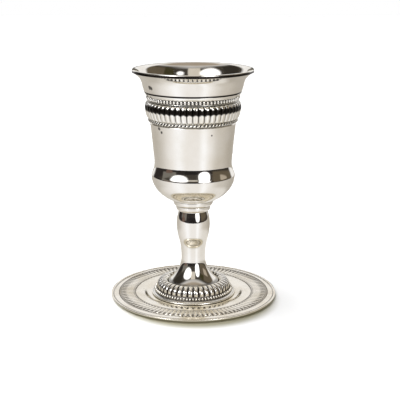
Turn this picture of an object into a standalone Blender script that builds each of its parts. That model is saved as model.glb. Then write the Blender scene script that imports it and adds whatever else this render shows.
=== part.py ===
"""A footed silver-plated kiddush cup standing in its own saucer.

Built in metres, +Z up. The origin is the centre of the saucer's flat underside, and every piece is
turned about the Z axis. Lengths below are in millimetres; MM turns them into metres as meshes are made.
"""
import math

import bmesh
import bpy
from mathutils import Matrix, Vector

MM = 0.001
FIT = 0.3            # the gap between two pieces that touch

# The saucer: a pressed dish with a well, a smooth ring, a fluted ring, a bead ring and a rolled border.
SAUCER_R = 51.5
SAUCER_H = 2.6       # the rings' crests over the table
WELL_R = 27.6
WELL_Z = 1.5         # the well's floor
SHEET = 1.3          # thickness of the saucer's sheet
SMOOTH_RING = (32.0, 36.4)
FLUTED_RING = (36.8, 46.3)
BEAD_RING = (46.5, 48.1)
SAUCER_SIDES = 48

# The cup: its foot stands on the well's floor.
CUP_H = 140.0
FOOT_Z = WELL_Z + FIT
RIM_Z = FOOT_Z + CUP_H
RIM_R = 36.5
WALL = 1.2           # thickness of the bowl's wall
FOOT_R = 26.0
FOOT_CREST_R = 17.3  # the top of the gadrooned ring, close round the stem
FOOT_CREST_Z = FOOT_Z + 8.3
FOOT_BEAD_R = 23.8
FOOT_BEAD_Z = FOOT_Z + 3.0
FOOT_LOBES = 40
BAND_LOBES = 51
BAND_TOP_Z = RIM_Z - 13.8
BAND_LOW_Z = RIM_Z - 31.6
SHOULDER_R = 25.5    # the bowl's widest point under its waist
SHOULDER_Z = RIM_Z - 64.3
BELLY_H = 18.5       # height of the half-round bottom below the shoulder
COLLAR_R = 12.2
COLLAR_Z = RIM_Z - 81.0
BALUSTER_R = 10.5
WAIST_R = 7.4
WAIST_Z = RIM_Z - 118.3
TRUMPET_R = 15.6     # the stem where it sinks into the foot
TRUMPET_Z = FOOT_Z + 7.6
STEM_SIDES = 24
BOWL_SIDES = 32


def arc(r, z, across, up, start, end, steps):
    """Points of an ellipse round (r, z), from angle start to end in degrees, counted from +R."""
    turns = [math.radians(start + (end - start) * i / steps) for i in range(steps + 1)]
    return [(r + across * math.cos(t), z + up * math.sin(t)) for t in turns]


def curve(knots, steps):
    """A smooth curve through a few knots, with the given number of stretches between each two."""
    ends = [tuple(2 * a - b for a, b in zip(knots[0], knots[1]))]
    ends += knots + [tuple(2 * a - b for a, b in zip(knots[-1], knots[-2]))]
    points = []
    for before, a, b, after in zip(ends, ends[1:], ends[2:], ends[3:]):
        for i in range(steps):
            t = i / steps
            points.append(tuple(
                0.5 * (2 * q + (r - p) * t + (2 * p - 5 * q + 4 * r - s) * t ** 2
                       + (3 * q - p - 3 * r + s) * t ** 3)
                for p, q, r, s in zip(before, a, b, after)))
    return points + [knots[-1]]


def silver(name, colour, roughness):
    """Polished silver plate, a little warmer and duller where the piece is tarnished."""
    material = bpy.data.materials.new(name)
    material.use_nodes = True
    shader = material.node_tree.nodes["Principled BSDF"]
    shader.inputs["Base Color"].default_value = (*colour, 1.0)
    shader.inputs["Metallic"].default_value = 1.0
    shader.inputs["Roughness"].default_value = roughness
    return material


def finish(name, bm, material):
    """Welds a mesh, points its faces outwards and puts it in the scene as one named object."""
    bmesh.ops.remove_doubles(bm, verts=bm.verts, dist=0.001 * MM)
    bmesh.ops.dissolve_degenerate(bm, edges=bm.edges, dist=0.001 * MM)
    bmesh.ops.recalc_face_normals(bm, faces=bm.faces)
    mesh = bpy.data.meshes.new(name)
    bm.to_mesh(mesh)
    bm.free()
    mesh.materials.append(material)
    mesh.shade_smooth()
    mesh.set_sharp_from_angle(angle=math.radians(35))
    piece = bpy.data.objects.new(name, mesh)
    bpy.context.collection.objects.link(piece)
    return piece


def turned(name, outline, sides, material):
    """A piece turned on a lathe: its outline of (radius, height) points, from axis to axis, spun about Z."""
    bm = bmesh.new()
    points = [bm.verts.new((r * MM, 0, z * MM)) for r, z in outline]
    edges = [bm.edges.new(pair) for pair in zip(points, points[1:])]
    bmesh.ops.spin(bm, geom=bm.verts[:] + edges, cent=(0, 0, 0), axis=(0, 0, 1),
                   angle=2 * math.pi, steps=sides, use_merge=True)
    return finish(name, bm, material)


def lobed_ring(name, section, lobes, material):
    """A ring with gadroons: one lobe is skinned between its valleys, then repeated round the ring.

    Each point of the closed section is (radius at the crest, height, depth of the valley).
    """
    step = 2 * math.pi / lobes
    bm = bmesh.new()
    columns = []
    for turn, valley in ((-step / 2, 1), (0, 0), (step / 2, 1)):
        spot = Matrix.Rotation(turn, 4, "Z")
        columns.append([bm.verts.new(spot @ Vector(((r - depth * valley) * MM, 0, z * MM)))
                        for r, z, depth in section])
    for left, right in zip(columns, columns[1:]):
        for i in range(len(section)):
            k = (i + 1) % len(section)
            bm.faces.new((left[i], right[i], right[k], left[k]))
    bmesh.ops.spin(bm, geom=bm.verts[:] + bm.edges[:] + bm.faces[:], cent=(0, 0, 0), axis=(0, 0, 1),
                   angle=2 * math.pi - step, steps=lobes - 1, use_duplicate=True)
    return finish(name, bm, material)


def saucer(material):
    """The pressed dish. Its flat well stands on the table, and the rings run clear of it."""
    dip = SAUCER_H - 0.7
    lip = (SAUCER_R - BEAD_RING[1] - 0.4) / 2
    top = [(0, WELL_Z), (WELL_R, WELL_Z), (SMOOTH_RING[0] - 0.6, SAUCER_H - 0.5)]
    for inner, outer in (SMOOTH_RING, FLUTED_RING, BEAD_RING):
        top += arc((inner + outer) / 2, dip, (outer - inner) / 2, SAUCER_H - dip, 180, 0, 3)
    top += arc(SAUCER_R - lip, dip, lip, SAUCER_H - dip, 180, 0, 4)
    flat = dip - SHEET + 0.4
    under = [(SAUCER_R - 0.5, flat), (SMOOTH_RING[0], flat), (WELL_R + 0.6, 0), (0, 0)]
    return turned("saucer", top + under, SAUCER_SIDES, material)


def foot(material):
    """The gadrooned cone under the stem, with a bead row and a flat flange round its bottom."""
    inside = TRUMPET_R + FIT
    section = [(inside, FOOT_Z, 0), (FOOT_R, FOOT_Z, 0), (FOOT_R - 0.1, FOOT_Z + 0.6, 0)]
    section += [(FOOT_R - 1.1, FOOT_Z + 1.5, 0)]
    section += [(r, z, 0) for r, z in arc(FOOT_BEAD_R, FOOT_BEAD_Z, 1.0, 1.0, -10, 70, 1)]
    section += [(22.4, FOOT_Z + 4.3, 0.8), (20.2, FOOT_Z + 6.3, 0.9), (18.5, FOOT_Z + 7.7, 0.8)]
    section += [(FOOT_CREST_R, FOOT_CREST_Z, 0.4), (inside + 0.4, FOOT_CREST_Z - 0.3, 0)]
    return lobed_ring("foot", section, FOOT_LOBES, material)


def stem(material):
    """The stem: a ringed collar, a baluster swell, a slim waist and a trumpet flare."""
    neck_z = COLLAR_Z - 6.7
    outline = [(0, COLLAR_Z + 0.6)]
    outline += arc(COLLAR_R - 0.9, COLLAR_Z - 0.8, 0.9, 1.4, 90, -70, 3)
    outline += arc(COLLAR_R - 2.4, COLLAR_Z - 4.0, 0.8, 1.4, 60, -60, 2)
    outline += curve([(BALUSTER_R - 1.15, neck_z), (BALUSTER_R, neck_z - 6.8),
                      (BALUSTER_R - 0.7, neck_z - 14.3), (WAIST_R + 0.95, WAIST_Z + 10.0)], 1)
    outline += curve([(WAIST_R, WAIST_Z), (WAIST_R + 1.1, WAIST_Z - 5.0),
                      (WAIST_R + 4.1, WAIST_Z - 10.0), (TRUMPET_R, TRUMPET_Z)], 2)
    outline += [(TRUMPET_R, FOOT_Z), (0, FOOT_Z)]
    return turned("stem", outline, STEM_SIDES, material)


def bowl(material):
    """The bowl: a flared lip, a wall that tapers to a waist, a shoulder and a half-round bottom."""
    outside = [(RIM_R - 0.8, RIM_Z), (RIM_R, RIM_Z - 0.6), (RIM_R - 0.2, RIM_Z - 1.7)]
    outside += curve([(RIM_R - 1.0, RIM_Z - 2.2), (32.3, RIM_Z - 5.1), (30.8, RIM_Z - 8.2)], 2)
    outside += [(30.1, RIM_Z - 11.2), (29.3, RIM_Z - 13.3)]
    outside += [(27.2, BAND_TOP_Z + FIT), (26.0, BAND_LOW_Z - FIT), (24.05, RIM_Z - 51.5)]
    outside += curve([(23.5, RIM_Z - 57.2), (24.5, RIM_Z - 61.2), (SHOULDER_R, SHOULDER_Z)], 2)[:-1]
    touch = math.degrees(math.asin((SHOULDER_Z - COLLAR_Z - 0.6 - FIT) / BELLY_H))
    outside += arc(0, SHOULDER_Z, SHOULDER_R, BELLY_H, 0, -touch, 4)
    outside += [(0, COLLAR_Z + 0.6 + FIT)]
    inner_r = SHOULDER_R - WALL
    deep = BELLY_H - WALL - 2.0
    inside = arc(0, SHOULDER_Z, inner_r, deep, -90, 0, 4)
    inside += [(22.5, RIM_Z - 59.5), (22.3, RIM_Z - 57.0), (26.0, RIM_Z - 16.0)]
    inside += curve([(29.0, RIM_Z - 9.9), (30.3, RIM_Z - 5.6), (33.4, RIM_Z - 1.9)], 1)
    inside += [(RIM_R - 1.5, RIM_Z - 0.3)]
    return turned("bowl", inside + outside, BOWL_SIDES, material)


def gadroon_band(material):
    """The gallery strip soldered round the bowl: flange, bead row, gadroons and a twisted wire."""
    low, top = BAND_LOW_Z, BAND_TOP_Z
    section = [(26.0 + FIT + 0.1, low, 0), (26.6, low, 0), (26.8, low + 1.4, 0)]
    section += [(27.1, low + 2.4, 0.4), (28.6, low + 5.2, 0.8), (28.95, low + 8.4, 0.9),
                (28.2, low + 11.6, 0.5)]
    section += [(r, z, 0) for r, z in arc(27.9, low + 14.1, 1.05, 1.4, -50, 60, 1)]
    section += [(29.0, top, 0), (27.2 + FIT + 0.1, top, 0)]
    return lobed_ring("gadroon_band", section, BAND_LOBES, material)


def main():
    for leftover in list(bpy.data.objects):
        bpy.data.objects.remove(leftover)
    plate = silver("polished_silver_plate", (0.80, 0.78, 0.74), 0.10)
    relief = silver("oxidised_silver_relief", (0.66, 0.63, 0.58), 0.22)
    dish = silver("saucer_silver_plate", (0.76, 0.73, 0.68), 0.18)
    saucer(dish)
    foot(relief)
    stem(plate)
    bowl(plate)
    gadroon_band(relief)


main()
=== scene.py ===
# %% [markdown]
# # A silver kiddush cup in its saucer
#
# The cup is a raised and spun bowl with a gallery strip soldered round it, on a turned stem that
# is soldered into a gadrooned foot. It stands loose in a pressed saucer. This lesson makes the
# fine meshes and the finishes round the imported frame, whose sizes it reads and never changes.

# %% The frame
import math

import bpy
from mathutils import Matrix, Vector


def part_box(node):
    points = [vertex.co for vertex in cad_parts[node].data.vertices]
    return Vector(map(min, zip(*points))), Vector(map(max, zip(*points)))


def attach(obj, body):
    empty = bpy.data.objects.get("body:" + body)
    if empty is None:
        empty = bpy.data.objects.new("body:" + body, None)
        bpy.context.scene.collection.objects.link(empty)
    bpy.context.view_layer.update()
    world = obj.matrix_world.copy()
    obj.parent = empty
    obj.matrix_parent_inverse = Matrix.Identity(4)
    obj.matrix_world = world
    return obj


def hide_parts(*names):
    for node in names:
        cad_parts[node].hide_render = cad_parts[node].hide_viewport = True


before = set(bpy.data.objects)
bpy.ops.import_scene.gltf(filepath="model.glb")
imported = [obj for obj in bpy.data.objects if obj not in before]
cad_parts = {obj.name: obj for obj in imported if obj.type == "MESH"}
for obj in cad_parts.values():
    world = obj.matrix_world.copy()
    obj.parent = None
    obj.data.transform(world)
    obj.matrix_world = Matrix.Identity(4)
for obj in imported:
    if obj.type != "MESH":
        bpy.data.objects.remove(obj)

MM = 0.001
FRONT = -math.pi / 2
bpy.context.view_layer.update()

# %% [markdown]
# ## Heights from the frame
#
# The rim, the foot and the saucer's crest fix every height. The bowl, its strip and the stem are
# measured down from the rim, the foot up from its underside, and the saucer's rings down from
# their crest. Only the saucer's well and underside are measured up from the table.

# %% Heights
rim_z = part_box("bowl")[1].z / MM
foot_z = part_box("foot")[0].z / MM
foot_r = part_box("foot")[1].x / MM
rim_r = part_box("bowl")[1].x / MM
saucer_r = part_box("saucer")[1].x / MM
saucer_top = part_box("saucer")[1].z / MM
print(f"rim {rim_z:.1f} mm up, r {rim_r:.1f}; foot {foot_z:.1f} mm up, r {foot_r:.1f}; "
      f"saucer {saucer_top:.1f} mm high, r {saucer_r:.1f}")


def below_rim(points):
    """Outline points whose second number is the drop below the rim."""
    return [(r, rim_z - drop) for r, drop in points]


def above_foot(points):
    """Outline points whose second number is the rise over the foot's underside."""
    return [(r, foot_z + rise) for r, rise in points]


# %% [markdown]
# ## Drawing an outline
#
# A silversmith turns or raises each part to a drawn outline. A polished surface shows every kink
# in the outline's bend, so a free stretch is a cubic spline through listed points, which keeps its
# curvature smooth, and a round edge is an arc. Straight runs of short edges would show as bands.

# %% Outline helpers
SETTLED = 24        # rounds after which a spline's pull points no longer move


def smooth(points, steps=4):
    """A cubic spline through the points, with the given number of stretches between two of them."""
    pulls = [list(p) for p in points]
    for _ in range(SETTLED):
        for i in range(1, len(points) - 1):
            for k in (0, 1):
                pulls[i][k] = (6 * points[i][k] - pulls[i - 1][k] - pulls[i + 1][k]) / 4
    first = [2 * a - b for a, b in zip(pulls[0], pulls[1])]
    last = [2 * a - b for a, b in zip(pulls[-1], pulls[-2])]
    pulls = [first] + pulls + [last]
    line = []
    for p, q, r, s in zip(pulls, pulls[1:], pulls[2:], pulls[3:]):
        for i in range(steps):
            t = i / steps
            weights = ((1 - t) ** 3, 3 * t ** 3 - 6 * t ** 2 + 4,
                       -3 * t ** 3 + 3 * t ** 2 + 3 * t + 1, t ** 3)
            line.append(tuple(sum(w * c[k] for w, c in zip(weights, (p, q, r, s))) / 6
                              for k in (0, 1)))
    return line + [tuple(points[-1])]


def arc(r, z, across, up, start, end, steps):
    """Points of an ellipse round (r, z), from angle start to end in degrees; 0 points outwards."""
    turns = [math.radians(start + (end - start) * i / steps) for i in range(steps + 1)]
    return [(r + across * math.cos(t), z + up * math.sin(t)) for t in turns]


def tidy(line, gap=0.02):
    """Drops points closer than gap to the one before, so that joined stretches share one point."""
    kept = [line[0]]
    for point in line[1:]:
        if math.dist(point, kept[-1]) > gap:
            kept.append(point)
    return kept


def ramp(value, low, high, soft):
    """1 between low and high, falling to 0 over the soft edge."""
    inside = min(value - low, high - value) / soft + 0.5
    inside = min(max(inside, 0.0), 1.0)
    return inside * inside * (3 - 2 * inside)


# %% [markdown]
# ## Turning it on the lathe
#
# The outline is drawn on the front plane by extruding one point again and again, and Spin turns it
# round the upright axis, as the lathe does. A Screw modifier would give the same shape. Spin is
# used because the same outline, spun through a narrow slice, is the start of every lobed ring
# below.

# %% Lathe helpers
def only(*pieces):
    """Selects just these objects, the first of them active."""
    bpy.ops.object.select_all(action="DESELECT")
    for piece in pieces:
        piece.select_set(True)
    bpy.context.view_layer.objects.active = pieces[0]


def trace(name, outline):
    """Draws an outline of (radius, height) points on the front plane, and stays in edit mode."""
    bpy.ops.object.select_all(action="DESELECT")
    bpy.ops.mesh.primitive_plane_add(size=MM)
    piece = bpy.context.object
    piece.name = piece.data.name = name
    bpy.ops.object.mode_set(mode="EDIT")
    bpy.ops.mesh.merge(type="CENTER")
    points = tidy(outline)
    bpy.ops.transform.translate(value=(0, -points[0][0] * MM, points[0][1] * MM))
    for (r, z), (next_r, next_z) in zip(points, points[1:]):
        step = (0, (r - next_r) * MM, (next_z - z) * MM)
        bpy.ops.mesh.extrude_vertices_move(TRANSFORM_OT_translate={"value": step})
    return piece


def spin(steps, angle, copies=False):
    """Turns all that is in edit mode round the upright axis."""
    bpy.ops.mesh.select_all(action="SELECT")
    bpy.ops.mesh.spin(steps=steps, angle=angle, dupli=copies, center=(0, 0, 0), axis=(0, 0, 1))


def close_up(piece, crease=40):
    """Merges the seam and the poles, turns the faces outwards and keeps only sharp edges sharp."""
    bpy.ops.mesh.select_all(action="SELECT")
    bpy.ops.mesh.remove_doubles(threshold=0.003 * MM)
    bpy.ops.mesh.normals_make_consistent(inside=False)
    bpy.ops.object.mode_set(mode="OBJECT")
    only(piece)
    bpy.ops.object.shade_smooth_by_angle(angle=math.radians(crease))
    print(f"{piece.name}: {len(piece.data.polygons)} faces")
    return piece


def lathe(name, outline, sides=144):
    """A turned piece: its outline runs from axis to axis."""
    piece = trace(name, outline)
    spin(sides, math.tau)
    return close_up(piece)


def note_darkening(piece, rule):
    """Notes how dark each point is, with patina and painted shade, 0 to 1; rule(r, z) gives it."""
    layer = piece.data.attributes.new("patina_and_shade", "FLOAT", "POINT")
    for vertex, mark in zip(piece.data.vertices, layer.data):
        mark.value = rule(vertex.co.xy.length / MM, vertex.co.z / MM)


# %% [markdown]
# ## The bowl
#
# On the real cup the bowl is one sheet of metal: a flared lip with a flat rolled edge, a wall
# that tapers down to a waist, and a half-round bottom under a crisp shoulder. It is drawn as one
# closed outline, up the inside and down the outside, so that the wall has its true thickness.
# Where the gallery strip covers the wall, the outline steps back behind it.

# %% Bowl outline
SHOULDER_Z = rim_z - 64.3       # the centre of the half-round bottom

inside = arc(0, SHOULDER_Z, 24.3, 15.3, -90, -4, 22)
inside += smooth(below_rim([(24.2, 63.4), (23.4, 61.0), (22.5, 58.6), (22.3, 56.0), (22.7, 50.0),
                            (23.7, 38.0), (24.75, 26.0), (25.5, 18.5), (25.9, 15.6), (26.45, 13.8),
                            (27.35, 12.2), (28.45, 10.6), (29.45, 9.0), (30.25, 7.4), (30.95, 5.8),
                            (31.68, 4.3), (32.45, 2.95), (33.2, 1.8), (34.0, 0.95), (34.8, 0.4),
                            (35.6, 0.05)]), 6)
lip = arc(rim_r - 0.85, rim_z - 0.5, 0.7, 0.5, 115, 12, 8)
lip += below_rim([(rim_r - 0.13, 0.55), (rim_r - 0.1, 0.8), (rim_r - 0.05, 1.3), (rim_r, 1.65)])
lip += arc(rim_r - 0.2, rim_z - 1.7, 0.2, 0.2, 0, -80, 4)
flare = smooth(below_rim([(36.0, 1.95), (35.5, 2.2), (34.4, 3.05), (33.2, 4.05), (32.2, 5.1),
                          (31.5, 6.2), (31.0, 7.5), (30.7, 8.8), (30.35, 10.1), (30.0, 11.3),
                          (29.65, 12.4), (29.25, 13.3)]))
behind_strip = below_rim([(28.6, 13.55), (27.0, 13.7), (26.9, 16.0), (25.5, 31.5), (25.9, 31.9)])
wall = smooth(below_rim([(26.1, 32.3), (25.75, 33.8), (25.45, 36.0), (25.0, 40.5), (24.5, 45.7),
                         (24.05, 50.8), (23.72, 54.0), (23.55, 56.6), (23.75, 58.9), (24.25, 60.9),
                         (24.85, 62.6)]))
shoulder = smooth(below_rim([(24.85, 62.6), (25.2, 63.45), (25.42, 64.1), (25.5, 64.8),
                             (25.45, 65.6)]))
belly = arc(0, SHOULDER_Z, 25.5, 18.5, -4, -60, 30)
outside = lip + flare + behind_strip + wall + shoulder + belly

# %% Bowl
LIP_SHADE_DROPS = (0.6, 2.05)         # drops below the rim, in mm: painted shade under the lip, and patina in the strip's seam
STRIP_SEAM = (12.98, 13.8)

bowl = lathe("bowl_shell", inside + outside + [(0, belly[-1][1])])


def bowl_lip_shade_and_seam(r, z):
    """Painted shade under the rolled lip; polish never reaches into the seam over the strip."""
    drop = rim_z - z
    # painted shade on the outer edge and underside of the rolled lip
    lip_shade = ramp(drop, *LIP_SHADE_DROPS, 0.2) * (r > rim_r - 0.7)
    return max(lip_shade, ramp(drop, *STRIP_SEAM, 0.2) * (r > 28))


note_darkening(bowl, bowl_lip_shade_and_seam)

# %% [markdown]
# ## The stem
#
# The stem is turned from a casting: a collar of two rings under the bowl, a baluster that swells
# and tapers to a waist, and a trumpet that flares into the foot. It could be stacked from cones
# and rings. One spun outline is used because the polish runs on unbroken, and because the slope of
# the outline decides what each part of the stem mirrors: steep parts show the dark room, and the
# baluster shows the table and, where it tapers fastest, the saucer.

# %% Stem outline
collar = [(0, rim_z - 80.35)] + arc(11.9, rim_z - 80.7, 0.3, 0.35, 90, 0, 4)
collar += arc(11.0, rim_z - 81.0, 1.2, 2.5, 0, -75, 8) + [(10.9, rim_z - 83.6)]
collar += arc(10.4, rim_z - 83.95, 0.25, 0.3, 90, 0, 4)
collar += arc(9.2, rim_z - 84.3, 1.45, 2.7, 0, -75, 8)
baluster = smooth(below_rim([(8.9, 87.2), (9.22, 88.5), (9.6, 90.0), (9.93, 91.5), (10.15, 92.8),
                             (10.27, 94.1), (10.3, 95.4), (10.24, 97.0), (10.08, 98.8),
                             (9.8, 100.8), (9.4, 103.0), (8.82, 105.4), (8.24, 107.8),
                             (7.83, 110.2), (7.58, 112.6), (7.45, 115.4), (7.46, 118.2),
                             (7.72, 120.2), (8.3, 122.2), (9.05, 124.1), (10.0, 126.0),
                             (11.15, 127.9), (12.55, 129.7), (14.1, 131.3), (15.6, 132.4)]), 8)

# %% Stem
JOINT_Z = rim_z - 131.3         # where the flare dips under the tips of the foot's lobes

stem = lathe("stem_turned", collar + baluster + [(15.6, foot_z), (0, foot_z)], 192)


def stem_joint_shade(r, z):
    """Painted shade: the stem is darkened in the crevice under the tips of the foot's lobes."""
    # painted shade in the joint with the foot
    return 0.6 * ramp(z, foot_z, JOINT_Z, 1.0)


note_darkening(stem, stem_joint_shade)

# %% [markdown]
# ## Lobed rings
#
# Gadroons and twisted wire repeat round the cup. A smith rolls such a strip between dies and
# solders it on. One slice of the ring is spun, its faces are swelled into one lobe, and Spin
# repeats the slice. A Displace modifier with a wave could swell the whole ring, but the ends of
# the lobes would stay square.

# %% Lobed ring helper
def lobed_ring(name, outline, count, columns, swell, slant=0.0):
    """A closed ring whose outline swells into count lobes.

    swell(r, z, u) gives how far a point moves in mm, outwards and up, and how dark it is, with
    patina and painted shade; u runs from -1 to 1 across a lobe. slant turns the lobes' upper ends
    by that share of a lobe for each mm of height.
    """
    piece = trace(name, outline + outline[:1])
    spin(columns, math.tau / count)
    bpy.ops.object.mode_set(mode="OBJECT")
    middle = sum(z for _, z in outline) / len(outline)
    layer = piece.data.attributes.new("patina_and_shade", "FLOAT", "POINT")
    for vertex, mark in zip(piece.data.vertices, layer.data):
        x, y, z = vertex.co / MM
        r = math.hypot(x, y)
        turn = abs(math.remainder(math.atan2(y, x) - FRONT, math.tau)) * count / math.tau
        u = math.sin(math.pi * (turn - 0.5))
        out, up, mark.value = swell(r, z, u)
        angle = FRONT + ((u + 1) / 2 + slant * (z - middle)) * math.tau / count
        vertex.co = Vector(((r + out) * math.cos(angle), (r + out) * math.sin(angle), z + up)) * MM
    bpy.ops.object.mode_set(mode="EDIT")
    spin(count - 1, math.tau * (count - 1) / count, copies=True)
    return close_up(piece, 50)


def dome(u, s, side=2.5, end=4):
    """The height of a lobe, 1 at its middle and 0 round its edge."""
    return max(0.0, 1 - abs(u) ** side - abs(s) ** end) ** 0.5


def bead_row(name, count, r, z, size, tall=1.0, deep=1.0, lean=0.0):
    """A row of small beads, stretched up by tall and out by deep; lean tips their tops out."""
    bpy.ops.object.select_all(action="DESELECT")
    bpy.ops.mesh.primitive_uv_sphere_add(segments=14, ring_count=10, radius=size * MM,
                                         location=(0, -r * MM, z * MM),
                                         rotation=(math.radians(lean), 0, 0))
    row = bpy.context.object
    row.name = row.data.name = name
    row.scale = (1, deep, tall)
    bpy.ops.object.transform_apply(location=True, rotation=True, scale=True)
    bpy.ops.object.mode_set(mode="EDIT")
    spin(count - 1, math.tau * (count - 1) / count, copies=True)
    return close_up(row, 60)


def join(*pieces):
    """Solders pieces into the first of them."""
    only(*pieces)
    bpy.ops.object.join()
    return pieces[0]


# %% [markdown]
# ## The gallery strip
#
# The strip round the bowl has a flange against the lip, a row of beads, fifty-one gadroons and a
# twisted wire along its lower edge. The upper halves of the gadroons, under the flared lip, are
# painted nearly black, part patina and part painted shade, and their caps and lower halves are
# polished bright. The beads are a row of small spheres and the wire is a lobed ring of its own,
# because both are finer than the gadroons.

# %% Strip outline
strip = below_rim([(27.3, 13.75), (28.9, 13.72), (29.15, 13.85), (29.2, 14.1), (28.9, 14.6),
                   (28.45, 15.3), (28.1, 15.7), (27.85, 15.9), (27.6, 16.6), (27.2, 18.0),
                   (27.25, 18.25)])
strip += arc(27.35, rim_z - 18.45, 0.32, 0.22, 80, -80, 5)
strip += below_rim([(27.0, 18.7), (26.95, 18.9)])
strip += smooth(below_rim([(27.0, 19.0), (27.35, 19.7), (27.6, 20.7), (27.75, 21.8), (27.85, 22.9),
                           (27.8, 23.9), (27.6, 25.0), (27.3, 26.4), (26.95, 27.8), (26.6, 29.0),
                           (26.45, 29.5)]), 3)
strip += below_rim([(26.2, 29.7), (26.2, 31.3), (26.0, 31.4), (25.8, 31.3), (27.0, 16.0)])

# %% Gadroons
GADROONS = 51
GADROON_TOP = rim_z - 18.95
GADROON_LOW = rim_z - 29.4
GADROON_BULGE = 1.15            # mm
OUTER_FACE = 26.5               # the radius outside which the strip shows


def gadroon_swell(r, z, u):
    """The gadroons stand on the outer face between the fillet and the wire.

    Their upper halves, under the flared lip, are painted dark as patina and painted shade; the
    valleys between them are dark with patina. s runs from -1 at their lower ends to 1 at their
    upper ends.
    """
    s = (2 * z - GADROON_TOP - GADROON_LOW) / (GADROON_TOP - GADROON_LOW)
    if abs(s) >= 1 or r < OUTER_FACE:
        behind_beads = 0.95 * ramp(rim_z - z, 15.8, 18.1, 0.2) * (r > OUTER_FACE)
        return 0, 0, max(behind_beads, 0.9 * ramp(rim_z - z, 18.5, 19.1, 0.3))
    # patina and painted shade on the upper halves, under the flared lip
    dark = ramp(s, 0.05 - 0.22 * u * u, 0.6 + 0.3 * u * u, 0.12)
    valley = abs(u) ** 6 * (0.6 + 0.4 * ramp(s, 0.1, 0.75, 0.1))
    return GADROON_BULGE * dome(u, s, 3, 6), 0, max(dark, valley)


gadroons = lobed_ring("gallery_strip", strip, GADROONS, 12, gadroon_swell)

# %% Strip beads and twisted wire
STRIP_BEADS = 78
STRANDS = 75
WIRE_Z = rim_z - 30.5
WIRE_HALF = 0.95                # half the height of the wire, in mm
STRAND_BULGE = 1.1

beads = bead_row("strip_beads", STRIP_BEADS, 27.4, rim_z - 17.05, 0.79, 1.45, 0.9, 16)


def strand_swell(r, z, u):
    """Each strand of the wire rounds over between its neighbours."""
    s = (z - WIRE_Z) / WIRE_HALF
    if abs(s) >= 1 or r < 25.9:
        return 0, 0, 0.9
    held = max(ramp(abs(u), 0.54, 2, 0.3), 0.9 * abs(s) ** 10)
    return STRAND_BULGE * dome(u, s, 2, 2), 0, held


wire = [(25.8, WIRE_Z + 0.9)] + arc(25.95, WIRE_Z, 0.2, WIRE_HALF, 80, -80, 8)
wire += [(25.8, WIRE_Z - 1.0)]
rope = lobed_ring("twisted_wire", wire, STRANDS, 8, strand_swell, slant=0.35)
gadroons = join(gadroons, beads, rope)

# %% [markdown]
# ## The foot
#
# The foot is a hollow cone soldered round the trumpet: a flat flange with a rolled edge, a row of
# beads, and forty lobes that lean in to the stem. It is a lobed ring like the strip's, swelled
# outwards and up along LEAN instead of straight out. Solid lobes could be laid on the cone one by
# one, but then the valleys between them would be knife cuts and not soft folds of one sheet.

# %% Foot outline
LOBE_OUT = 22.6                 # the radii between which the lobes run
LOBE_IN = 16.2

cone = above_foot([(foot_r - 0.35, -0.25)]) + arc(foot_r - 0.4, foot_z + 0.3, 0.4, 0.45, -60, 90, 8)
cone += above_foot([(25.3, 0.72), (25.15, 0.66), (25.0, 0.72)])
cone += above_foot([(24.7, 0.95), (24.3, 1.15), (23.9, 1.5), (23.3, 2.3), (22.9, 2.9), (22.7, 3.5)])
cone += smooth(above_foot([(LOBE_OUT, 3.65), (22.3, 4.6), (21.75, 5.5), (20.95, 6.4), (19.9, 7.2),
                           (18.6, 7.8), (17.4, 8.0), (16.6, 7.8), (LOBE_IN, 7.3)]), 3)
cone += above_foot([(15.95, 6.9), (15.9, -0.25)])

# %% Foot
FOOT_LOBES = 40
FOOT_BEADS = 78
LOBE_BULGE = 1.25               # mm
LEAN = (0.55, 0.84)             # outwards and up


def foot_swell(r, z, u):
    """The lobes run from the beads up to the crest, with dark valleys that widen at the beads.

    s runs from -1 at the stem to 1 at the beads.
    """
    s = (2 * r - LOBE_OUT - LOBE_IN) / (LOBE_OUT - LOBE_IN)
    if abs(s) >= 1 or z < foot_z + 3.6:
        return 0, 0, 0.9 * max(ramp(r, 22.4, 24.3, 0.2), ramp(r, 25.07, 25.23, 0.1))
    lift = LOBE_BULGE * dome(u, s, 2.5, 5)
    valley = ramp(abs(u), 0.72 - 0.18 * ramp(s, 0.75, 2, 0.3), 2, 0.25) * ramp(s, -0.6, 1.5, 0.5)
    return LEAN[0] * lift, LEAN[1] * lift, valley


foot = lobed_ring("foot_cone", cone, FOOT_LOBES, 12, foot_swell)
foot_beads = bead_row("foot_beads", FOOT_BEADS, 23.6, foot_z + 2.75, 0.66, 1.3, 1.1, -35)
foot = join(foot, foot_beads)

# %% [markdown]
# ## The saucer
#
# The saucer is pressed from one sheet: a flat well that the cup stands in, a short rise to a
# smooth ring, a ring of fine flutes, a narrow knurled ring and a flat border with a rolled edge.
# The flutes could be a bump in the material, but they catch the light at their ends, so they are
# real. One slice of the saucer holds two flutes and three ticks of the knurling, and is repeated
# forty-eight times.

# %% Saucer relief
SLICES = 48
FLUTES = (36.9, 45.1)           # the radii between which the flutes run
FLUTE_DEPTH = 0.32              # mm
FLUTE_END = 1.2                 # how far in from its ends a flute reaches that depth
TICKS = (45.2, 46.4)            # the radii of the knurled ring
TICK_DEPTH = 0.3
# each seam of dark patina: from and to in radius, edge softness (mm), how much patina
SEAMS = [
    (36.35, 36.65, 0.2, 1.0),
    (46.42, 46.8, 0.1, 1.0),
    (49.8, 50.1, 0.1, 0.5),
]


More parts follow.
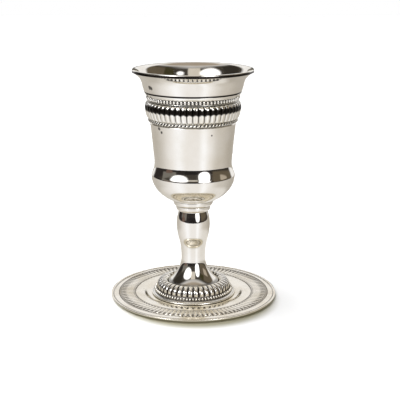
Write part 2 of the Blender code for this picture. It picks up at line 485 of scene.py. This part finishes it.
def press(r, z, turn):
    """How far the dies press a point of the upper face down, in mm, and the patina left in it.

    turn counts slices.
    """
    if z < saucer_top - 1.0:
        return 0.0, 0.0
    seam = max(held * ramp(r, near, far, soft) for near, far, soft, held in SEAMS)
    if FLUTES[0] < r < FLUTES[1]:
        ends = min(1.0, (r - FLUTES[0]) / FLUTE_END, (FLUTES[1] - r) / FLUTE_END)
        flute = abs(math.cos(math.tau * turn))
        tips = max(ramp(r, 30, 37.7, 0.6), ramp(r, 42.3, 60, 1.5))
        return FLUTE_DEPTH * ends * flute ** 2, max(seam, flute ** 3 * (0.22 + 0.78 * tips))
    if TICKS[0] < r < TICKS[1]:
        tick = 0.5 + 0.5 * math.cos(math.tau * 3 * turn)
        return TICK_DEPTH * tick, max(seam, tick)
    return 0.0, seam


# %% Saucer outline
WELL_Z = 1.5


def below_crest(points):
    """Outline points whose second number is the drop below the crest of the saucer's rings."""
    return [(r, saucer_top - drop) for r, drop in points]


dish = [(r, WELL_Z) for r in (0, 14, 24, 27.0)]
dish += smooth([(27.2, WELL_Z), (28.3, 1.52), (29.1, 1.7), (29.9, 2.08), (30.7, 2.42), (31.7, 2.54),
                (33.0, saucer_top - 0.02)])
dish += below_crest([(34.2, 0.01), (35.4, 0.05), (36.15, 0.12), (36.4, 0.3), (36.6, 0.3),
                     (36.8, 0.14)])
dish += smooth(below_crest([(37.2, 0.1), (38.5, 0.04), (40.5, 0), (42.5, 0.02), (44.2, 0.1),
                            (45.05, 0.2)]))
dish += arc(45.8, saucer_top - 0.36, 0.62, 0.2, 165, 15, 6)
dish += below_crest([(46.5, 0.42), (46.68, 0.42), (46.85, 0.24), (47.5, 0.2), (48.7, 0.22),
                     (49.6, 0.3), (49.9, 0.42)])
dish += arc(saucer_r - 0.75, saucer_top - 0.7, 0.75, 0.42, 155, -60, 10)
dish += [(51.0, 1.15), (49.5, 1.05), (32.5, 1.0), (28.3, 0.0), (0, 0.0)]

# %% Saucer
COLUMNS = 16                    # stretches across one slice

saucer = trace("saucer_dish", dish)
spin(COLUMNS, math.tau / SLICES)
bpy.ops.object.mode_set(mode="OBJECT")
layer = saucer.data.attributes.new("patina_and_shade", "FLOAT", "POINT")
for vertex, mark in zip(saucer.data.vertices, layer.data):
    x, y, z = vertex.co / MM
    turn = (math.atan2(y, x) - FRONT) * SLICES / math.tau
    depth, mark.value = press(math.hypot(x, y), z, turn)
    vertex.co.z -= depth * MM
bpy.ops.object.mode_set(mode="EDIT")
spin(SLICES - 1, math.tau * (SLICES - 1) / SLICES, copies=True)
close_up(saucer)

# %% [markdown]
# ## The finishes
#
# Every piece is brass or nickel under a thin coat of silver. Silver plate is nearly white, mirror
# bright where it is wiped, and turns warm grey as it tarnishes. In the recesses a black patina
# stays behind, which is what makes beads and gadroons readable. A picture of dirt could be painted
# on. Here the nodes find the recesses: ambient occlusion measures how closed in a point is, and
# the patina_and_shade attribute adds the places that the maker blackened on purpose and painted
# shade under the bowl's lip, on the gadroons' upper halves and in the stem's joint with the foot.
# The lathe leaves fine rings on the bowl and the stem, the stamped foot is softer, and the pressed
# saucer is satin and a little uneven.

# %% Material helpers
def linear(hex_colour):
    """A linear RGBA colour from an sRGB hex value."""
    parts = [int(hex_colour[i:i + 2], 16) / 255 for i in (1, 3, 5)]
    return [p / 12.92 if p <= 0.04045 else ((p + 0.055) / 1.055) ** 2.4 for p in parts] + [1.0]


def node(tree, kind, inputs=None, **settings):
    """Adds a node with its settings; inputs maps a socket to a value or another node's output."""
    made = tree.nodes.new(kind)
    for key, value in settings.items():
        setattr(made, key, value)
    for key, value in (inputs or {}).items():
        socket = made.inputs[key] if isinstance(key, int) else open_socket(made.inputs, key)
        if isinstance(value, bpy.types.NodeSocket):
            tree.links.new(value, socket)
        else:
            socket.default_value = value
    return made


def open_socket(sockets, name):
    """The socket of that name that is in use; a Mix node has one for each kind of data."""
    return next(s for s in sockets if s.name == name and s.enabled)


# %% Patina and polishing marks
def dark_share(tree, place, reach, speckle, spots):
    """How dark a point is, 0 to 1: recess patina, spots, and marked patina and painted shade."""
    hollow = node(tree, "ShaderNodeAmbientOcclusion", {"Distance": reach * MM}, samples=12)
    wiped = node(tree, "ShaderNodeMath", {0: speckle, 1: 0.35, 2: hollow.outputs["AO"]},
                 operation="MULTIPLY_ADD")
    deep = node(tree, "ShaderNodeMapRange", {"Value": wiped.outputs["Value"], "From Min": 0.45,
                                             "From Max": 0.9, "To Min": 1.0, "To Max": 0.0},
                interpolation_type="SMOOTHSTEP").outputs["Result"]
    # the attribute holds patina and painted shade: under the lip, on the gadroons, in the stem's
    # joint
    left = node(tree, "ShaderNodeAttribute", attribute_name="patina_and_shade").outputs["Fac"]
    deep = node(tree, "ShaderNodeMath", {0: deep, 1: left},
                operation="MAXIMUM").outputs["Value"]
    for point, size in spots:
        away = node(tree, "ShaderNodeVectorMath", {0: place, 1: [c * MM for c in point]},
                    operation="DISTANCE").outputs["Value"]
        ragged = node(tree, "ShaderNodeMath", {0: speckle, 1: size * MM, 2: away},
                      operation="MULTIPLY_ADD").outputs["Value"]
        spot = node(tree, "ShaderNodeMapRange", {"Value": ragged, "From Min": 1.15 * size * MM,
                                                 "From Max": 1.5 * size * MM, "To Min": 0.9,
                                                 "To Max": 0.0}).outputs["Result"]
        deep = node(tree, "ShaderNodeMath", {0: deep, 1: spot},
                    operation="MAXIMUM").outputs["Value"]
    return deep


def polishing_marks(tree, place, across, upwards, depth):
    """A fine bump of marks of that size and depth in mm."""
    stretched = node(tree, "ShaderNodeVectorMath",
                     {0: place, 1: (1 / (across * MM), 1 / (across * MM), 1 / (upwards * MM))},
                     operation="MULTIPLY").outputs["Vector"]
    marks = node(tree, "ShaderNodeTexNoise", {"Vector": stretched, "Scale": 1.0, "Detail": 2.0})
    return node(tree, "ShaderNodeBump", {"Strength": 1.0, "Distance": depth * MM,
                                         "Height": marks.outputs["Fac"]}).outputs["Normal"]


# %% Silver plate
def silver(name, bright, warm, patina_and_shade, reach, dull, grain, spots=()):
    """Polished silver plate with dark patina in its recesses and painted shade where marked.

    bright, warm and patina_and_shade are sRGB hex colours, the last for patina and painted shade;
    reach is how wide a recess, in mm, still holds patina after polishing; dull is the roughness of
    the polish. grain is the size in mm of the polishing marks, across and upwards, and their depth.
    spots holds (point, size) pairs in mm.
    """
    material = bpy.data.materials.new(name)
    material.use_nodes = True
    tree = material.node_tree
    shader = tree.nodes["Principled BSDF"]
    place = node(tree, "ShaderNodeTexCoord").outputs["Object"]
    drift = node(tree, "ShaderNodeTexNoise", {"Vector": place, "Scale": 1 / (16 * MM),
                                              "Detail": 4.0})
    stain = node(tree, "ShaderNodeMapRange", {"Value": drift.outputs["Fac"], "From Min": 0.42,
                                              "From Max": 0.72}).outputs["Result"]
    tint = node(tree, "ShaderNodeMix", {"Factor": stain, "A": linear(bright), "B": linear(warm)},
                data_type="RGBA")
    speckle = node(tree, "ShaderNodeTexNoise", {"Vector": place, "Scale": 1 / (0.9 * MM),
                                                "Detail": 3.0}).outputs["Fac"]
    deep = dark_share(tree, place, reach, speckle, spots)
    colour = node(tree, "ShaderNodeMix", {"Factor": deep, "A": tint.outputs[2],
                                          "B": linear(patina_and_shade)}, data_type="RGBA")
    polish = node(tree, "ShaderNodeMath", {0: stain, 1: 0.04, 2: dull}, operation="MULTIPLY_ADD")
    rough = node(tree, "ShaderNodeMath", {0: deep, 1: 0.35, 2: polish.outputs["Value"]},
                 operation="MULTIPLY_ADD")
    tree.links.new(colour.outputs[2], shader.inputs["Base Color"])
    tree.links.new(rough.outputs["Value"], shader.inputs["Roughness"])
    tree.links.new(polishing_marks(tree, place, *grain), shader.inputs["Normal"])
    shader.inputs["Metallic"].default_value = 1.0
    shader.inputs["Coat Weight"].default_value = 0.25
    shader.inputs["Coat Roughness"].default_value = 0.3
    return material


# %% The four finishes
def on_bowl(azimuth, drop, r):
    """A point of the bowl's outside in mm, azimuth 0 at the front and positive to the right."""
    turn = math.radians(azimuth)
    return (r * math.sin(turn), -r * math.cos(turn), rim_z - drop)


# small tarnish spots, each a point and a size in mm
STRIP_SPOTS = [(on_bowl(-68, 14.7, 28.8), 1.5), (on_bowl(-60, 15.2, 28.3), 1.1),
               (on_bowl(-76, 16.0, 28), 1.6), (on_bowl(64, 15.2, 28.4), 1.0)]
SPOTS = [(on_bowl(-55, 9.3, 30.6), 1.5), (on_bowl(-52, 9.5, 30.5), 1.3),
         (on_bowl(-50, 33.6, 25.8), 1.2), (on_bowl(-46, 35.6, 25.5), 1.0),
         (on_bowl(25.8, 36.4, 25.4), 0.6)]

# polished silver plate: a mirror with the faint rings of the lathe and a few tarnish spots
plate = silver("polished_silver_plate", "#F3F1EE", "#EBE7E0", "#241E1A", 0.8, 0.035,
               (14, 0.5, 0.003), SPOTS)
# oxidised silver relief: white crests over nearly black recesses
relief = silver("oxidised_silver_relief", "#FBFAF8", "#EEEAE2", "#1C1814", 0.9, 0.05, (3, 3, 0.01),
                STRIP_SPOTS)
# stamped silver foot: the same plate from a die, softer in its shine and brown in its valleys
stamped = silver("oxidised_silver_foot", "#FBFAF8", "#EEEAE2", "#33281E", 0.6, 0.2,
                 (1.5, 1.5, 0.01))
# pressed silver plate: satin, a little yellow, and uneven from the dies
pressed = silver("pressed_silver_plate", "#F3EFE8", "#E2DACB", "#3A3020", 0.8, 0.14,
                 (2.2, 2.2, 0.03))
print("finishes:", ", ".join(finish.name for finish in (plate, relief, stamped, pressed)))

# %% [markdown]
# ## Putting it in the frame
#
# Each fine piece hides the frame's piece of the same name, moves with the cup's one body and takes
# its finish.

# %% Pieces to the frame
for piece, node_name, finish, slot in (
        (bowl, "bowl", plate, "polished_silver_plate"),
        (stem, "stem", plate, "polished_silver_plate"),
        (gadroons, "gadroon_band", relief, "oxidised_silver_relief"),
        (foot, "foot", stamped, "oxidised_silver_relief"),
        (saucer, "saucer", pressed, "saucer_silver_plate")):
    piece.data.materials.clear()
    piece.data.materials.append(finish)
    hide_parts(node_name)
    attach(piece, "root")
    print(f"{piece.name} in place of {node_name}")

# %% [markdown]
# ## The camera
#
# The camera looks down at the cup by about fourteen degrees from a little over half a metre away,
# with a long lens, so that the rim and the saucer are flat ovals.

# %% Camera
LOOKS_DOWN = 14.42              # degrees
EYE = (0.00418, -0.5667, 0.20656)
LENS = 85.45                    # mm, for a frame 36 mm wide

camera = bpy.data.objects.new("camera", bpy.data.cameras.new("camera"))
bpy.context.collection.objects.link(camera)
camera.location = EYE
camera.rotation_euler = (math.radians(90 - LOOKS_DOWN), 0, 0)
camera.data.lens = LENS
camera.data.sensor_width = 36
bpy.context.scene.camera = camera
print(f"camera {-EYE[1]:.2f} m in front, {LENS:.0f} mm lens")

# %% [markdown]
# ## The studio
#
# Polished silver has hardly a colour of its own: what it shows is the room. The cup stands on a
# white table inside a tent, a sphere whose points are painted with a few soft panels: a white wall
# behind with a dark gap low down, a dark room in front, a grey ceiling, a big softbox to the front
# left and a window to the front right. A few flat cards could stand round the cup instead, but a
# sphere has no gaps and is easy to repaint. Only mirror reflections see it, and silver that
# mirrors silver sees a creamier tent, as real plate is never a perfect mirror.

# %% Tent panels
TENT_R = 3.0
TENT_Z = 0.08                   # the tent's centre, near half the height of the cup
# each panel: from and to in azimuth, from and to in height, edge softness (degrees), colour
# azimuth 0 is the front, +90 the right-hand side
PANELS = [
    (-220, 220, -95, 95, 5, "#A89C8C"),         # ceiling
    (-220, 220, -95, 60, 14, "#FAF8F5"),        # wall behind
    (-140, 128, -95, 56, 14, "#423D36"),        # room in front
    (-135, 125, -95, 13, 7, "#2E2A28"),         # its lower half
    (-28, 12, -14, 12, 5, "#242120"),           # its darkest place, straight in front
    (-96, -50, 3, 19, 5, "#7A766E"),            # things that stand to the left
    (-84, -62, -6, 7, 4, "#6E5A50"),
    (-128, -84, 22, 48, 8, "#34302A"),
    (58, 130, 0, 46, 10, "#645A4A"),            # brown wall to the right
    (52, 78, 30, 48, 4, "#403C26"),
    (84, 108, 12, 26, 4, "#B4A896"),
    (-20, 14, 30, 54, 4, "#D8D0C2"),            # pale ceiling between the lamps
    (162, 220, -3, 12, 1.5, "#4A4434"),         # gap under the wall behind
    (-220, -162, -3, 12, 1.5, "#4A4434"),
]
# each round lamp: azimuth, height, half its width, half its height (degrees), soft share, colour,
# strength
ROUND_LAMPS = [
    (-44, 33, 28, 17, 0.2, "#FFFFFF", 2.0),     # softbox, and its bright middle
    (-44, 34, 12, 8, 0.5, "#FFFFFF", 12.0),
    (33, 21, 17, 21, 0.15, "#FFFFFF", 2.0),     # window, its bright middle and a dark thing in it
    (33, 24, 8, 7, 0.5, "#FFFFFF", 12.0),
    (34, 21, 2.5, 3.5, 0.4, "#707070", 1.0),
]


# %% Glow helpers
def emitter(name, bounced=None):
    """A material that only glows, in the colours that are painted on its points.

    Rays that have met polished silver twice see the colour bounced instead, for the most part.
    """
    material = bpy.data.materials.new(name)
    material.use_nodes = True
    tree = material.node_tree
    tree.nodes.clear()
    tint = node(tree, "ShaderNodeAttribute", attribute_name="panel").outputs["Color"]
    if bounced:
        depth = node(tree, "ShaderNodeLightPath").outputs["Glossy Depth"]
        twice = node(tree, "ShaderNodeMapRange", {"Value": depth, "From Min": 1.0, "From Max": 2.0,
                                                  "To Max": 0.8}).outputs["Result"]
        tint = node(tree, "ShaderNodeMix", {"Factor": twice, "A": tint, "B": linear(bounced)},
                    data_type="RGBA").outputs[2]
    glow = node(tree, "ShaderNodeEmission", {"Color": tint, "Strength": 1.0})
    node(tree, "ShaderNodeOutputMaterial", {"Surface": glow.outputs["Emission"]})
    return material


def paint(piece, coats):
    """Paints every point of a piece; coats(point) lists its (cover, colour, strength) coats."""
    layer = piece.data.attributes.new("panel", "FLOAT_COLOR", "POINT")
    for vertex, dot in zip(piece.data.vertices, layer.data):
        shade = [0.0, 0.0, 0.0]
        for cover, colour, strength in coats(vertex.co):
            shade = [a + (b * strength - a) * cover for a, b in zip(shade, linear(colour))]
        dot.color = shade + [1.0]


def azimuth_of(point):
    """Degrees from the front, positive to the right."""
    return math.degrees(math.atan2(point.x, -point.y))


def hide_from(piece, *rays):
    """Hides a piece from the named kinds of rays."""
    for ray in rays:
        setattr(piece, f"visible_{ray}", False)


# %% Tent
def tent_coats(point):
    """The panels and lamps that cover a point of the tent."""
    azimuth = azimuth_of(point)
    height = math.degrees(math.asin(max(-1.0, min(1.0, (point.z - TENT_Z) / TENT_R))))
    coats = [(ramp(azimuth, west, east, soft) * ramp(height, low, high, soft), colour, 1.0)
             for west, east, low, high, soft, colour in PANELS]
    for west, low, wide, tall, soft, colour, strength in ROUND_LAMPS:
        away = math.hypot((azimuth - west) / wide, (height - low) / tall)
        coats.append((ramp(away, -9, 1, 2 * soft), colour, strength))
    return coats


bpy.ops.object.select_all(action="DESELECT")
bpy.ops.mesh.primitive_uv_sphere_add(segments=240, ring_count=120, radius=TENT_R,
                                     location=(0, 0, TENT_Z))
tent = bpy.context.object
tent.name = "light_tent"
bpy.ops.object.transform_apply(location=True)
paint(tent, tent_coats)
tent.data.materials.append(emitter("tent_glow", bounced="#F0E8D4"))
hide_from(tent, "camera", "diffuse", "shadow", "transmission", "volume_scatter")
print(f"{tent.name}: {len(PANELS)} panels, {len(ROUND_LAMPS)} lamps")

# %% [markdown]
# ## The table in the mirror
#
# Mirror reflections see a painted disc in place of the table. The table's own light depends on the
# lamps, and a disc can hold painted light: the soft streaks that run down the bowl and a painted
# shadow ring at the saucer.

# %% Table glow
# from and to in azimuth, from and to in distance (mm), softness (degrees and mm), colour, strength
TABLE_GLOW = [
    (-220, 220, 0, 900, 5, 5, "#F8F5F1", 1.0),
    # painted shade on the table to the sides and behind
    (-220, -95, 0, 900, 80, 5, "#DAD5CC", 1.0),
    (-220, -95, 110, 900, 80, 50, "#C4BEB4", 1.0),
    (62, 220, 0, 900, 40, 5, "#EAE6DF", 1.0),
    (62, 220, 110, 900, 40, 50, "#D2CCC2", 1.0),
    (105, 220, 110, 900, 60, 50, "#B8B1A6", 1.0),
    # painted light where the lamps fall on the table
    (-54, -26, 0, 900, 28, 5, "#FFFFFF", 1.06),
    (21, 39, 0, 900, 18, 5, "#FFFFFF", 1.08),
    # painted shadow round the saucer's rim
    (-220, 220, 0, 54, 5, 5, "#C4C0AE", 1.0),
]
GLOW_IN = 30                    # the radii between which the disc lies, in mm
GLOW_OUT = 720
GLOW_RINGS = 24
GLOW_Z = 0.3                    # just clear of the table


def glow_coats(point):
    """The patches that cover a point of the disc."""
    azimuth = azimuth_of(point)
    reach = point.xy.length / MM
    return [(ramp(azimuth, west, east, soft) * ramp(reach, near, far, blur), colour, strength)
            for west, east, near, far, soft, blur, colour, strength in TABLE_GLOW]


glow = trace("table_glow", [(GLOW_IN * (GLOW_OUT / GLOW_IN) ** (i / GLOW_RINGS), GLOW_Z)
                            for i in range(GLOW_RINGS + 1)])
spin(120, math.tau)
close_up(glow)
paint(glow, glow_coats)
glow.data.materials.append(emitter("table_shine"))
hide_from(glow, "camera", "diffuse", "shadow", "transmission", "volume_scatter")

# %% [markdown]
# ## The table and the backdrop
#
# The table is matt white paper. A soft dark edge lies under the saucer's rim, a little to the
# front right. Lamps could cast it, but so thin a shadow turns grainy, so it is painted in the
# paper. A white sphere that only the camera sees makes the room behind the cup plain white.

# %% Table
TABLE_SIZE = 5.6
SHADOW_PLACE = (2 * MM, -10 * MM, 0)
SHADOW_FADE = (43 * MM, 53 * MM)

bpy.ops.object.select_all(action="DESELECT")
bpy.ops.mesh.primitive_plane_add(size=1, location=(0, 0, 0))
table = bpy.context.object
table.name = "table"
table.scale = (TABLE_SIZE, TABLE_SIZE, 1)
bpy.ops.object.transform_apply(location=True, scale=True)
table_white = bpy.data.materials.new("table_white")
table_white.use_nodes = True
paper = table_white.node_tree
surface = paper.nodes["Principled BSDF"]
place = node(paper, "ShaderNodeTexCoord").outputs["Object"]
away = node(paper, "ShaderNodeVectorMath", {0: place, 1: SHADOW_PLACE},
            operation="DISTANCE").outputs["Value"]
lit = node(paper, "ShaderNodeMapRange", {"Value": away, "From Min": SHADOW_FADE[0],
                                         "From Max": SHADOW_FADE[1]},
           interpolation_type="SMOOTHSTEP").outputs["Result"]
shaded = node(paper, "ShaderNodeMix", {"Factor": lit, "A": linear("#9C9884"),
                                       "B": linear("#F6F6F6")}, data_type="RGBA")
paper.links.new(shaded.outputs[2], surface.inputs["Base Color"])
surface.inputs["Roughness"].default_value = 0.8
surface.inputs["Specular IOR Level"].default_value = 0.0
table.data.materials.append(table_white)
hide_from(table, "glossy")
print(f"table: {TABLE_SIZE} m across")

# %% Backdrop
BACKDROP_R = 2.5 * TENT_R

bpy.ops.object.select_all(action="DESELECT")
bpy.ops.mesh.primitive_uv_sphere_add(segments=32, ring_count=16, radius=BACKDROP_R)
backdrop = bpy.context.object
backdrop.name = "backdrop"
paint(backdrop, lambda point: [(1.0, "#FFFFFF", 1.0)])
backdrop.data.materials.append(emitter("backdrop_glow"))
hide_from(backdrop, "diffuse", "glossy", "shadow")
print(f"{backdrop.name}: {BACKDROP_R} m in radius")

# %% [markdown]
# ## Lamps and world
#
# Two broad lamps and a plain world light the table, the only matt thing here. Mirror reflections
# see the tent's panels in their place.

# %% Lamps
# each lamp: name, azimuth, height and width (degrees), strength
LAMPS = [("top_lamp", -115, 68, 45, 3.1), ("front_lamp", -50, 42, 35, 0.7)]

for name, azimuth, height, spread, strength in LAMPS:
    lamp = bpy.data.objects.new(name, bpy.data.lights.new(name, "SUN"))
    bpy.context.collection.objects.link(lamp)
    lamp.rotation_euler = (math.radians(90 - height), 0, math.radians(azimuth))
    lamp.data.angle = math.radians(spread)
    lamp.data.energy = strength
    hide_from(lamp, "camera", "glossy")
    print(f"{name}: {spread} degrees wide")

# %% World
WORLD_LIGHT = 0.42

world = bpy.data.worlds.new("studio")
world.use_nodes = True
sky = world.node_tree.nodes["Background"]
sky.inputs["Color"].default_value = linear("#FFFFFF")
sky.inputs["Strength"].default_value = WORLD_LIGHT
bpy.context.scene.world = world
bpy.context.scene.view_settings.view_transform = "Standard"
